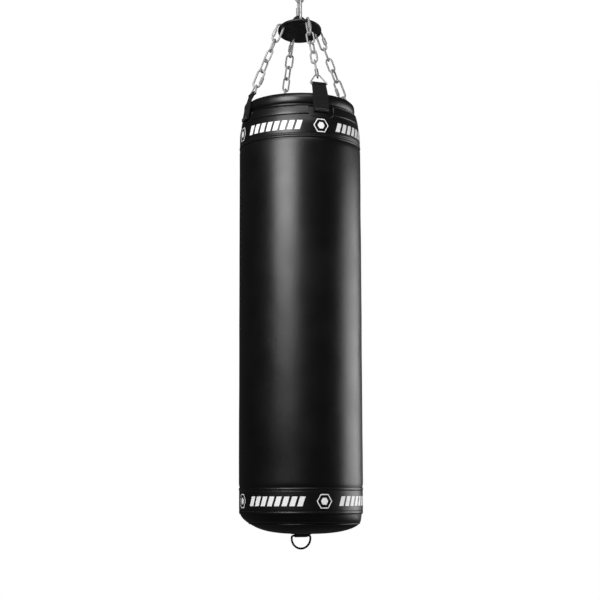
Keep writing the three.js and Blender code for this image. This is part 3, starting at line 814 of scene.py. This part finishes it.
# every fourth column is drawn in a little near the seam, which makes the gathers
enter(bottom)
choose(bottom, isGather)
bpy.ops.transform.resize(value=(capLook["drawnIn"], capLook["drawnIn"], 1), center_override=(0, 0, bagFloor))
leave()
sag(bottom)
modify(bottom, "SOLIDIFY", thickness=capLook["thickness"], offset=-1)
smooth(bottom, 60)
finishPiece(bottom, "bag", leather, ("bottom_cap",))

# bead sewn into the bottom seam
beadLook = {"height": 30, "out": 0.4, "halfWidth": 1.3 * mm, "halfHeight": 1.5 * mm}
bead = roundCord("bottomBead", beadLook["height"], beadLook["out"], beadLook["halfWidth"], beadLook["halfHeight"])
sag(bead)
smooth(bead, 60)
finishPiece(bead, "bag", foldedLeather)
print("bottom")

# stitches

stitchLook = {"length": 3.6 * mm, "thickness": 0.75 * mm, "pitch": 5.2 * mm}


def stitchAt(place, along, outward):
    # one stitch laid at place
    bpy.ops.object.select_all(action="DESELECT")
    bpy.ops.mesh.primitive_uv_sphere_add(segments=6, ring_count=4, radius=0.5)
    obj = bpy.context.object
    side = along.cross(outward).normalized()
    out = side.cross(along).normalized()
    turn = Matrix((side, out, along)).transposed().to_4x4()
    size = Matrix.Diagonal((stitchLook["thickness"], stitchLook["thickness"], stitchLook["length"], 1))
    settle(obj, Matrix.Translation(place) @ turn @ size)
    return obj


def stitchRow(name, height, out):
    # a row of stitches right round the bag, by spinning one
    radius, level = over([(height, out)])[0]
    obj = stitchAt(Vector((radius, 0, level)), Vector((0, 1, 0)), Vector((1, 0, 0)))
    obj.name = name
    count = int(2 * math.pi * radius / stitchLook["pitch"])
    enter(obj)
    bpy.ops.mesh.select_all(action="SELECT")
    bpy.ops.mesh.spin(steps=count, dupli=True, angle=2 * math.pi, center=(0, 0, 0), axis=(0, 0, 1))
    bpy.ops.mesh.select_all(action="SELECT")
    bpy.ops.mesh.remove_doubles(threshold=0.00001)
    leave()
    return obj


rows = [stitchRow("row", height, out) for height, out in (
    (66.2, 1.6), (124, 1.6), (1142.6, 1.5), (1147.4, 1.6), (35.5, 0.1))]
stitches = joined("bandStitches", rows)
sag(stitches)
smooth(stitches, 60)
finishPiece(stitches, "bag", threadCloth)

seamRows = []
for side in (-1, 1):
    angle = math.radians(seamLook["angle"] + side * seamLook["rows"])
    radius = bagLook["radius"] + (shellLook["bulge"] + 1) * mm
    spot = Vector((radius * math.cos(angle), radius * math.sin(angle), 0))
    stitch = stitchAt(spot + Vector((0, 0, bagFloor + seamLook["rowLow"])), Vector((0, 0, 1)), spot.normalized())
    row(stitch, seamLook["rowLength"], stitchLook["pitch"], "z")
    seamRows.append(stitch)
seamStitches = joined("seamStitches", seamRows)
smooth(seamStitches, 60)
finishPiece(seamStitches, "bag", threadCloth)
print("stitches")

# webbing straps

strapLook = {
    "width": 48 * mm, "ply": 1.8 * mm, "between": 0.3 * mm, "eye": 3.9 * mm, "barRadius": 152 * mm,
    "end": 1215 * mm, "hem": 9 * mm, "gathers": ((-12 * mm, 0.97), (-9 * mm, 0.955), (-6 * mm, 0.965)),
}
triangleLook = {"wire": 4.5 * mm, "height": 35 * mm, "apex": 14 * mm, "corner": 2.6 * mm, "half": 28.4 * mm}


def barHeight(leg):
    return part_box(leg + "_triangle")[0].z + triangleLook["wire"] / 2


def strapSide(barZ, away):
    # points (radius, z) up one side of the strap, from its low end over the rim towards the bar
    reach = rollLook["wide"] / 2 + away
    rise = rollLook["high"] / 2 + away
    u = (strapLook["barRadius"] - rollLook["middle"]) / reach
    v = (barZ - rollMiddle) / rise
    leaves = math.atan2(v, u) - math.acos(min(1, 1 / math.hypot(u, v)))
    points = []
    lowRadius = skinRadius(strapLook["end"]) + away
    lowZ = bagFloor + strapLook["end"]
    for i in range(9):
        points.append((lowRadius + (rollLook["middle"] + reach - lowRadius) * eased(i / 8),
                       lowZ + (rollMiddle - lowZ) * i / 8))
    for i in range(1, 13):
        angle = leaves * i / 12
        points.append((rollLook["middle"] + reach * math.cos(angle), rollMiddle + rise * math.sin(angle)))
    return points


def strapPath(barZ):
    # outer ply up, round the bar, and inner ply down
    ply = strapLook["ply"]
    inner = 0.4 * mm + ply / 2
    outer = inner + ply + strapLook["between"]
    loop = strapLook["eye"] + ply / 2
    bar = (strapLook["barRadius"], barZ)
    outerSide = strapSide(barZ, outer)
    innerSide = strapSide(barZ, inner)
    neck = outerSide[-1]
    facing = math.atan2(neck[1] - bar[1], neck[0] - bar[0])
    hug = math.asin(min(1, (ply + strapLook["between"]) / 2 / loop)) + 0.25
    around = []
    for i in range(17):
        angle = facing + hug + (2 * math.pi - 2 * hug) * i / 16
        around.append((bar[0] + loop * math.cos(angle), bar[1] + loop * math.sin(angle)))
    if math.dist(around[0], neck) > math.dist(around[-1], neck):
        around.reverse()
    # folded hem at the outer ply's low end
    low = outerSide[0]
    hem = [(low[0] + 1.9 * mm, low[1] + strapLook["hem"]), (low[0] + 2.0 * mm, low[1] + 2 * mm),
           (low[0] + 1.6 * mm, low[1] - 0.2 * mm)]
    return hem + outerSide + around + innerSide[::-1]


def ribbon(name, path, width):
    # a strip across Y, drawn out along a path in the XZ plane
    bpy.ops.object.select_all(action="DESELECT")
    bpy.ops.mesh.primitive_grid_add(x_subdivisions=1, y_subdivisions=10, size=1)
    obj = bpy.context.object
    obj.name = name
    enter(obj)
    choose(obj, lambda co: co.x > 0)
    bpy.ops.mesh.delete(type="VERT")
    bpy.ops.mesh.select_all(action="SELECT")
    bpy.ops.transform.resize(value=(1, width, 1), center_override=(0, 0, 0))
    bpy.ops.transform.translate(value=(path[0][0] + 0.5, 0, path[0][1]))
    for before, after in zip(path, path[1:]):
        step = (after[0] - before[0], 0, after[1] - before[1])
        bpy.ops.mesh.extrude_region_move(TRANSFORM_OT_translate={"value": step})
    leave()
    return obj


for leg in legNames:
    barZ = barHeight(leg)
    strap = ribbon("strap" + leg.title(), strapPath(barZ), strapLook["width"])
    enter(strap)
    # gathered where it goes through the triangle
    for rise, share in strapLook["gathers"]:
        choose(strap, lambda co, rise=rise: co.z > barZ + rise)
        bpy.ops.transform.resize(value=(1, share, 1), center_override=(strapLook["barRadius"], 0, barZ))
    leave()
    modify(strap, "SOLIDIFY", thickness=strapLook["ply"] * 0.86, offset=0)
    modify(strap, "BEVEL", width=0.35 * mm, segments=2, limit_method="ANGLE", angle_limit=math.radians(60))
    settle(strap, Matrix.Rotation(math.radians(legAngle[leg]), 4, "Z"))
    smooth(strap, 50)
    finishPiece(strap, "bag", webbing, ("strap_" + leg,))

# bar tacks: two rows of light thread across the hem of each strap
tackLook = {"pitch": 2.6 * mm, "rows": (3.2 * mm, 6.8 * mm), "half": 21 * mm}
tackPieces = []
for leg in legNames:
    for rise in tackLook["rows"]:
        out = skinRadius(strapLook["end"]) + 2 * strapLook["ply"] + 3.3 * mm
        spot = Vector((out, -tackLook["half"], bagFloor + strapLook["end"] + rise))
        tack = stitchAt(spot, Vector((0, 1, 0)), Vector((1, 0, 0)))
        row(tack, 2 * tackLook["half"], tackLook["pitch"], "y")
        settle(tack, Matrix.Rotation(math.radians(legAngle[leg]), 4, "Z"))
        tackPieces.append(tack)
tacks = joined("strapTacks", tackPieces)
smooth(tacks, 60)
finishPiece(tacks, "bag", lightThread)
print("straps")

# chain legs

linkLook = {"length": 64 * mm, "width": 26 * mm, "wire": 6 * mm, "sleeve": 5.6 * mm, "sleeveLength": 22 * mm,
            "travel": 8 * mm, "mouth": 7 * mm, "lowerTwist": 333}
chainLook = {"length": 47 * mm, "width": 26 * mm, "wire": 5.5 * mm, "twists": (62, 122, 216)}
topLook = {"length": 74 * mm, "width": 29 * mm, "wire": 7.5 * mm, "sleeve": 7.2 * mm, "sleeveLength": 26 * mm,
           "travel": 8 * mm, "mouth": 7 * mm}


def ovalLink(name, look):
    # a ring whose two halves are pulled apart along Y
    bend = (look["width"] - look["wire"]) / 2
    half = (look["length"] - look["width"]) / 2
    bpy.ops.object.select_all(action="DESELECT")
    bpy.ops.mesh.primitive_torus_add(major_segments=48, minor_segments=18, major_radius=bend,
                                     minor_radius=look["wire"] / 2)
    obj = bpy.context.object
    obj.name = name
    enter(obj)
    choose(obj, lambda co: co.y > 0.05 * mm)
    bpy.ops.transform.translate(value=(0, half, 0))
    choose(obj, lambda co: co.y < -0.05 * mm)
    bpy.ops.transform.translate(value=(0, -half, 0))
    leave()
    return obj


def quickLink(name, look):
    # the oval with a mouth in its +X side, under the sleeve
    obj = ovalLink(name, look)
    low = 2 * mm - look["travel"] / 2 - look["sleeveLength"] / 2
    high = low + look["mouth"]
    enter(obj)
    for y in (high, low):
        bpy.ops.mesh.select_all(action="SELECT")
        bpy.ops.mesh.bisect(plane_co=(0, y, 0), plane_no=(0, 1, 0))
    bpy.ops.mesh.select_mode(type="FACE")
    bpy.ops.mesh.select_all(action="DESELECT")
    shape = bmesh.from_edit_mesh(obj.data)
    for face in shape.faces:
        inMouth = all(low - 0.01 * mm < vert.co.y < high + 0.01 * mm for vert in face.verts)
        face.select = inMouth and face.calc_center_median().x > 0
    bmesh.update_edit_mesh(obj.data)
    bpy.ops.mesh.delete(type="FACE")
    bpy.ops.mesh.select_mode(type="VERT")
    bpy.ops.mesh.select_all(action="SELECT")
    bpy.ops.mesh.fill_holes(sides=0)
    bpy.ops.mesh.normals_make_consistent(inside=False)
    leave()
    smooth(obj, 50)
    return obj


def hexSleeve(name, look):
    # six-sided threaded sleeve along Y, with rounded shoulders and turned ends
    bore = look["wire"] / 2 + 0.3 * mm
    radius = look["sleeve"]
    half = look["sleeveLength"] / 2
    obj = turned(name, [(bore, -half), (radius * 0.86, -half), (radius, -half + 1.6 * mm),
                        (radius, half - 1.6 * mm), (radius * 0.86, half), (bore, half)], 6)
    modify(obj, "BEVEL", width=0.45 * mm, segments=3, limit_method="ANGLE", angle_limit=math.radians(20))
    settle(obj, Matrix.Rotation(math.radians(-90), 4, "X"))
    smooth(obj, 35)
    return obj


def chainLink(name):
    # welded link: the oval with a weld bead half way down one side
    obj = ovalLink(name, chainLook)
    bpy.ops.object.select_all(action="DESELECT")
    bpy.ops.mesh.primitive_uv_sphere_add(segments=16, ring_count=10, radius=chainLook["wire"] / 2 + 0.32 * mm)
    weld = bpy.context.object
    side = Matrix.Translation(((chainLook["width"] - chainLook["wire"]) / 2, 0, 0))
    settle(weld, side @ Matrix.Diagonal((1, 0.62, 1, 1)))
    obj = joined(name, [obj, weld])
    smooth(obj, 60)
    return obj


def legMatrix(leg, centre, twist):
    # Y up along the leg and Z along the hub's tangent, turned about the leg by twist
    axis = jointOf[leg + "_lower_link_sleeve_screw"]["axis"]
    up = Vector(axis).normalized()
    up = up if up.z > 0 else -up
    angle = math.radians(legAngle[leg])
    tangent = Vector((-math.sin(angle), math.cos(angle), 0))
    tangent = (tangent - up * tangent.dot(up)).normalized()
    across = up.cross(tangent)
    basis = Matrix((across, up, tangent)).transposed().to_4x4()
    return Matrix.Translation(centre) @ basis @ Matrix.Rotation(math.radians(twist), 4, "Y")


def middleOf(node):
    low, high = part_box(node)
    return (low + high) / 2


# which way round the sleeve of each lower link lies
legSide = {"right": 1, "back": -1, "left": 1, "front": 1}
linkModel = quickLink("quickLink", linkLook)
sleeveModel = hexSleeve("sleeve", linkLook)
chainModel = chainLink("chainLink")
sideShift = (linkLook["width"] - linkLook["wire"]) / 2
for leg in legNames:
    for place, twist, side in (("upper", 0, -1), ("lower", linkLook["lowerTwist"], legSide[leg])):
        node = leg + "_" + place + "_link"
        spot = legMatrix(leg, middleOf(node), twist) @ Matrix.Rotation(0 if side > 0 else math.pi, 4, "Y")
        link = copyOf(linkModel, leg + place.title() + "Link")
        settle(link, spot)
        finishPiece(link, "bag", zinc, (node,))
        sleeve = copyOf(sleeveModel, leg + place.title() + "Sleeve")
        settle(sleeve, spot @ Matrix.Translation((sideShift, -linkLook["travel"] / 2, 0)))
        finishPiece(sleeve, node + "_sleeve", zinc, (node + "_sleeve",))
    for number, twist in enumerate(chainLook["twists"]):
        node = leg + "_chain_" + str(number + 1)
        link = copyOf(chainModel, leg + "Chain" + str(number + 1))
        settle(link, legMatrix(leg, middleOf(node), twist))
        finishPiece(link, "bag", zinc, (node,))
for model in (linkModel, sleeveModel, chainModel):
    bpy.data.objects.remove(model)
print("links")


def triangleOutline():
    # wire centre line: bar at y 0, flat apex at the top
    half = triangleLook["half"]
    corner = triangleLook["corner"]
    high = triangleLook["height"] - triangleLook["wire"]
    tip = triangleLook["apex"] / 2
    slope = math.atan2(high, half - tip)
    flat = half - corner * math.tan((math.pi - slope) / 2)
    bevel = corner * math.tan(slope / 2)
    lean = math.degrees(slope)
    points = arc((flat, corner), corner, -90, 90 - lean, 8)
    points += arc((tip - bevel, high - corner), corner, 90 - lean, 90, 6)
    points += arc((-tip + bevel, high - corner), corner, 90, 90 + lean, 6)
    points += arc((-flat, corner), corner, 90 + lean, 270, 8)
    return [(x, y, 0) for x, y in points]


triangleModel = wire("triangle", triangleOutline(), triangleLook["wire"], sides=6)
smooth(triangleModel, 60)
for leg in legNames:
    angle = math.radians(legAngle[leg])
    bar = (strapLook["barRadius"] * math.cos(angle), strapLook["barRadius"] * math.sin(angle), barHeight(leg))
    triangle = copyOf(triangleModel, leg + "Triangle")
    settle(triangle, legMatrix(leg, bar, 90))
    finishPiece(triangle, "bag", zinc, (leg + "_triangle",))
bpy.data.objects.remove(triangleModel)
print("triangles")

# top quick link

topTurn = Matrix(((0, 0, 1, 0), (1, 0, 0, 0), (0, 1, 0, 0), (0, 0, 0, 1)))
topSpot = Matrix.Translation(middleOf("top_link")) @ topTurn
topLink = quickLink("topLink", topLook)
settle(topLink, topSpot)
finishPiece(topLink, "top_link", zinc, ("top_link",))
topSleeve = hexSleeve("topSleeve", topLook)
settle(topSleeve, topSpot @ Matrix.Translation(((topLook["width"] - topLook["wire"]) / 2, -topLook["travel"] / 2, 0)))
finishPiece(topSleeve, "top_link_sleeve", zinc, ("top_link_sleeve",))
print("top link")

# hub

hubLook = {
    "pivot": Vector((0, 0, -176.55 * mm)), "lean": 13, "leanTo": -109, "radius": 66 * mm, "thick": 6 * mm,
    "top": -33.44 * mm, "holes": 53.2 * mm, "hole": 5.8 * mm, "finWidth": 46 * mm, "finThick": 6 * mm,
    "finTop": 14.56 * mm, "finHole": -1.94 * mm, "finBore": 8.5 * mm,
}
leanTo = math.radians(hubLook["leanTo"])
leanAxis = Vector((math.sin(leanTo), -math.cos(leanTo), 0))
hubSpot = Matrix.Translation(hubLook["pivot"]) @ Matrix.Rotation(math.radians(hubLook["lean"]), 4, leanAxis)


def drum(name, radius, depth, place, vertices=48, lying=False):
    bpy.ops.object.select_all(action="DESELECT")
    turn = (math.radians(90), 0, 0) if lying else (0, 0, 0)
    bpy.ops.mesh.primitive_cylinder_add(vertices=vertices, radius=radius, depth=depth, location=place, rotation=turn)
    bpy.ops.object.transform_apply(location=True, rotation=True, scale=False)
    obj = bpy.context.object
    obj.name = name
    return obj


hub = drum("hubPlate", hubLook["radius"], hubLook["thick"], (0, 0, hubLook["top"] - hubLook["thick"] / 2), 128)
holes = []
for i in range(4):
    angle = math.radians(90 * i)
    spot = (hubLook["holes"] * math.cos(angle), hubLook["holes"] * math.sin(angle), hubLook["top"])
    holes.append(drum("hole", hubLook["hole"], 30 * mm, spot, 40))
cutBy(hub, joined("holes", holes))
modify(hub, "BEVEL", width=0.8 * mm, segments=3, limit_method="ANGLE", angle_limit=math.radians(40))
settle(hub, hubSpot)
smooth(hub, 35)
finishPiece(hub, "bag", hubPaint, ("hub_plate",))

finRound = hubLook["finTop"] - hubLook["finWidth"] / 2
finFoot = hubLook["top"] + 0.3 * mm
fin = drum("hubFin", hubLook["finWidth"] / 2, hubLook["finThick"], (0, 0, finRound), 96, lying=True)
leaf = block("leaf", (1, 1, 1))
leafSize = Matrix.Diagonal((hubLook["finWidth"], hubLook["finThick"], finRound - finFoot, 1))
settle(leaf, Matrix.Translation((0, 0, (finRound + finFoot) / 2)) @ leafSize)
cutBy(fin, leaf, "UNION")
cutBy(fin, drum("bore", hubLook["finBore"], 30 * mm, (0, 0, hubLook["finHole"]), 48, lying=True))
modify(fin, "BEVEL", width=0.7 * mm, segments=3, limit_method="ANGLE", angle_limit=math.radians(50))
welds = []
for side in (-1, 1):
    y = side * (hubLook["finThick"] / 2 + 0.6 * mm)
    points = [(x * mm, y + 0.25 * mm * math.sin(x * 1.9), finFoot + 1.4 * mm) for x in range(-21, 22)]
    welds.append(wire("weld", points, 3.4 * mm, closed=False))
fin = joined("hubFin", [fin] + welds)
settle(fin, hubSpot)
smooth(fin, 35)
finishPiece(fin, "bag", hubPaint, ("hub_fin",))
print("hub")

# pull ring and its tab

ringLook = {"width": 64 * mm, "side": 8 * mm, "corner": 5 * mm, "wire": 6 * mm}
tabLook = {"width": 38 * mm, "thick": 1.5 * mm, "eye": 3.3 * mm, "reach": 34 * mm}
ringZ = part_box("bottom_ring")[1].z - ringLook["wire"] / 2
reach = (ringLook["width"] - ringLook["wire"]) / 2
corner = ringLook["corner"]
outline = arc((corner - reach, -corner), corner, 90, 180, 8)
outline += arc((0, -ringLook["side"]), reach, 180, 360, 40)
outline += arc((reach - corner, -corner), corner, 0, 90, 8)
ring = wire("pullRing", [(x, 0, ringZ + z) for x, z in outline], ringLook["wire"], sides=6)
smooth(ring, 60)
finishPiece(ring, "pull_ring", ringBlack, ("bottom_ring",))

loop = tabLook["eye"] + tabLook["thick"] / 2
tabZ = bagFloor - tabLook["thick"] / 2 - 0.1 * mm
side = [(tabLook["reach"], tabZ), (20 * mm, tabZ), (9 * mm, tabZ), (5.4 * mm, tabZ - 0.5 * mm)]
path = [(-x, z) for x, z in side]
path += [(x, ringZ + z) for x, z in arc((0, 0), loop, 170, 370, 18)]
path += side[::-1]
tab = ribbon("ringTab", path, tabLook["width"])
modify(tab, "SOLIDIFY", thickness=tabLook["thick"] * 0.92, offset=0)
modify(tab, "BEVEL", width=0.35 * mm, segments=2, limit_method="ANGLE", angle_limit=math.radians(60))
settle(tab, Matrix.Rotation(math.radians(90), 4, "Z"))
smooth(tab, 50)
finishPiece(tab, "bag", webbing, ("bottom_tab",))
print("pull ring")

# liner and fill, inside the leather

linerLook = {"low": 31, "high": 1225.3, "gap": 2.8, "inner": 150 * mm}
low, high = linerLook["low"], linerLook["high"]
rings = over([(height, -linerLook["gap"]) for height in [low, 40, 52, 66, 80] + steps(110, high, 60)])
rings += [(linerLook["inner"], bagFloor + (high - i * (high - low) / 20) * mm) for i in range(21)]
liner = turned("foamLiner", rings, 96)
sag(liner)
smooth(liner, 60)
finishPiece(liner, "bag", foam, ("foam_liner",))

fillLook = {"radius": 149 * mm, "depth": 1190 * mm, "middle": 630 * mm, "pitch": 22, "wave": -4 * mm,
            "waveSize": 0.05}
fill = drum("packedFill", fillLook["radius"], fillLook["depth"], (0, 0, bagFloor + fillLook["middle"]), 96)
enter(fill)
for height in steps(36, 1225, fillLook["pitch"])[1:-1]:
    bpy.ops.mesh.select_all(action="SELECT")
    bpy.ops.mesh.bisect(plane_co=(0, 0, bagFloor + height * mm), plane_no=(0, 0, 1))
leave()
modify(fill, "BEVEL", width=14 * mm, segments=4, limit_method="ANGLE", angle_limit=math.radians(60))
folds = bpy.data.textures.new("folds", "CLOUDS")
folds.noise_scale = fillLook["waveSize"]
modify(fill, "DISPLACE", texture=folds, strength=fillLook["wave"], mid_level=0.0)
sag(fill)
smooth(fill, 60)
finishPiece(fill, "bag", fillCloth, ("textile_fill",))
print("liner and fill")

# what stays from the frame

for name in ("ceiling_plate", "clevis_bolt", "clevis_nut", "swivel_head", "swivel_cap", "thrust_bearing",
             "swivel_stem"):
    node = frame["nodes"][name]
    node.data.materials.clear()
    node.data.materials.append(zinc)
    smooth(node, 30)

# floor, backdrop, lights and camera

studioLook = {"floorDrop": 0.55, "floor": 4, "dome": 14, "ambient": 0.045}
lightLook = {
    "key": {"turn": -48.5, "away": 2.6, "height": 0.3, "wide": 1.5, "tall": 1.8, "power": 100},
    "side": {"turn": 87.5, "away": 2.3, "height": -1.15, "wide": 1.9, "tall": 1.75, "power": 42},
    "fill": {"turn": -14.5, "away": 2.0, "height": 1.7, "wide": 1.6, "tall": 1.6, "power": 26, "tip": 45},
}


def plainSurface(name, shade, glow=0.0):
    made = bpy.data.materials.new(name)
    made.use_nodes = True
    shader = made.node_tree.nodes["Principled BSDF"]
    shader.inputs["Base Color"].default_value = grey(shade)
    shader.inputs["Roughness"].default_value = 0.9
    shader.inputs["Emission Color"].default_value = (1, 1, 1, 1)
    shader.inputs["Emission Strength"].default_value = glow
    return made


bpy.ops.object.select_all(action="DESELECT")
bpy.ops.mesh.primitive_uv_sphere_add(segments=48, ring_count=24, radius=studioLook["dome"])
dome = bpy.context.object
dome.name = "backdrop"
dome.data.materials.append(plainSurface("backdropWhite", 0.0, 1.0))
dome.visible_diffuse = False
dome.visible_glossy = False
dome.visible_shadow = False
dome.visible_transmission = False

bpy.ops.object.select_all(action="DESELECT")
bpy.ops.mesh.primitive_cylinder_add(vertices=96, radius=studioLook["floor"], depth=0.02,
                                    location=(0, 0, cadBox[0][2] - studioLook["floorDrop"]))
floor = bpy.context.object
floor.name = "floor"
floor.data.materials.append(plainSurface("floorPale", 0.8, 0.25))
floor.visible_glossy = False

world = bpy.data.worlds.new("studio")
bpy.context.scene.world = world
world.use_nodes = True
world.node_tree.nodes["Background"].inputs["Color"].default_value = (1, 1, 1, 1)
world.node_tree.nodes["Background"].inputs["Strength"].default_value = studioLook["ambient"]


def softbox(name, turn, away, height, wide, tall, power, tip=0):
    # a flat light that faces the bag's axis, turn degrees round from the front
    angle = math.radians(turn)
    bpy.ops.object.light_add(type="AREA", location=(away * math.sin(angle), -away * math.cos(angle), height))
    light = bpy.context.object
    light.name = name
    light.data.shape = "RECTANGLE"
    light.data.size = wide
    light.data.size_y = tall
    light.data.energy = power
    light.rotation_euler = (math.radians(90 - tip), 0, angle)


for name, look in lightLook.items():
    softbox(name, **look)

cameraLook = {"turn": -21.5, "aside": 2.7 * mm, "away": 4.19, "up": 7.5, "level": 0.17, "lens": 85.5}
turn = math.radians(cameraLook["turn"])
cameraSpot = (cameraLook["away"] * math.sin(turn) - cameraLook["aside"] * math.cos(turn),
              -cameraLook["away"] * math.cos(turn) - cameraLook["aside"] * math.sin(turn),
              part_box("lower_band")[1].z)
bpy.ops.object.camera_add(location=cameraSpot, rotation=(math.radians(90 + cameraLook["up"]),
                                                           math.radians(cameraLook["level"]), turn))
camera = bpy.context.object
camera.data.lens = cameraLook["lens"]
camera.data.clip_end = 100
bpy.context.scene.camera = camera

print("scene ready")
